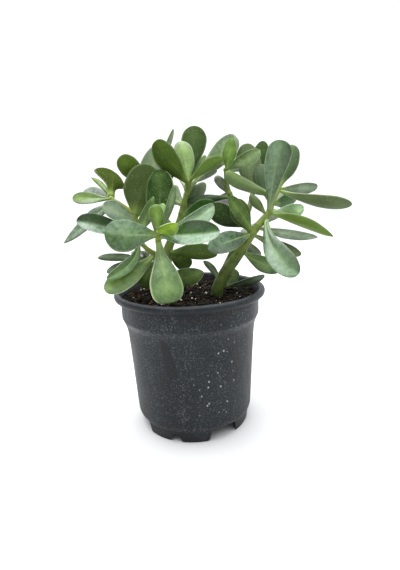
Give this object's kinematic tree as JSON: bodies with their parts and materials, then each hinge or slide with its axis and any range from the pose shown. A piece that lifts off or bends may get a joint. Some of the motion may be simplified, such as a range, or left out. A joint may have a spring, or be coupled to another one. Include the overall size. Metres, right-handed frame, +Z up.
{
  "type": "potted jade plant",
  "caption": "Young jade plant with fleshy spoon-shaped leaves on branching green stems, rooted in potting mix in a plain black plastic nursery pot.",
  "frame": {"origin": "centre of the resting face under the pot, on the pot's axis", "axes": "+Z up along the pot's axis, -Y towards the pictured side, +X to the right as seen from that side"},
  "size_m": [0.2691, 0.1557, 0.2987],
  "materials": {
    "pot_plastic": "matt black moulded plastic with fine pale dust",
    "potting_mix": "dark brown bark, fibre and pale grains",
    "stem": "smooth succulent stem, brownish green low down, yellow-green above",
    "leaf_young": "smooth waxy young leaf, bright yellow-green",
    "leaf_green": "smooth waxy leaf, mid green with a pale margin",
    "leaf_bloom": "mature leaf with a dusty grey-green bloom",
    "leaf_deep": "waxy leaf, deep green"
  },
  "bodies": {
    "root": {"leaf_base_rear": "leaf_bloom", "leaf_centre_rear": "leaf_green", "leaf_crown_behind": "leaf_bloom", "leaf_crown_cross": "leaf_bloom", "leaf_crown_rear_single": "leaf_green", "leaf_crown_wide": "leaf_bloom", "leaf_front_hanging": "leaf_green", "leaf_front_left_slim": "leaf_bloom", "leaf_front_right_upper": "leaf_bloom", "leaf_front_upright": "leaf_deep", "leaf_inner_broad": "leaf_bloom", "leaf_inner_dark": "leaf_deep", "leaf_inner_long": "leaf_deep", "leaf_left_blue": "leaf_bloom", "leaf_left_broad": "leaf_bloom", "leaf_left_round": "leaf_young", "leaf_low_centre_dark": "leaf_deep", "leaf_low_centre_front": "leaf_green", "leaf_low_left_inner": "leaf_green", "leaf_low_rear_centre": "leaf_green", "leaf_low_rear_left": "leaf_green", "leaf_mid_rear": "leaf_green", "leaf_pair_base": "leaf_deep", "leaf_pair_centre_low": "leaf_deep", "leaf_pair_crown_front": "leaf_green", "leaf_pair_crown_rear": "leaf_deep", "leaf_pair_front_bud": "leaf_young", "leaf_pair_front_inner": "leaf_young", "leaf_pair_front_low": "leaf_bloom", "leaf_pair_inner_upright": "leaf_deep", "leaf_pair_left_dark": "leaf_deep", "leaf_pair_left_drooping": "leaf_bloom", "leaf_pair_left_tip": "leaf_young", "leaf_pair_left_top": "leaf_bloom", "leaf_pair_low_left": "leaf_green", "leaf_pair_low_left_rear": "leaf_deep", "leaf_pair_rear_right": "leaf_green", "leaf_pair_rear_slim": "leaf_bloom", "leaf_pair_right_low": "leaf_bloom", "leaf_pair_right_outer": "leaf_young", "leaf_pair_right_shaded": "leaf_bloom", "leaf_pair_right_tip": "leaf_green", "leaf_pair_upper_bud": "leaf_young", "leaf_pair_upper_mid": "leaf_deep", "leaf_rear_light": "leaf_bloom", "leaf_right_edge_on": "leaf_deep", "leaf_right_hanging": "leaf_bloom", "leaf_right_long": "leaf_green", "leaf_right_lower": "leaf_green", "leaf_right_olive": "leaf_green", "leaf_right_rear": "leaf_green", "leaf_right_rear_low": "leaf_green", "leaf_right_small": "leaf_deep", "leaf_right_tall": "leaf_bloom", "leaf_right_underside": "leaf_bloom", "leaf_upper_rear": "leaf_green", "pot": "pot_plastic", "soil": "potting_mix", "stem_left": "stem", "stem_right": "stem"}
  },
  "joints": []
}
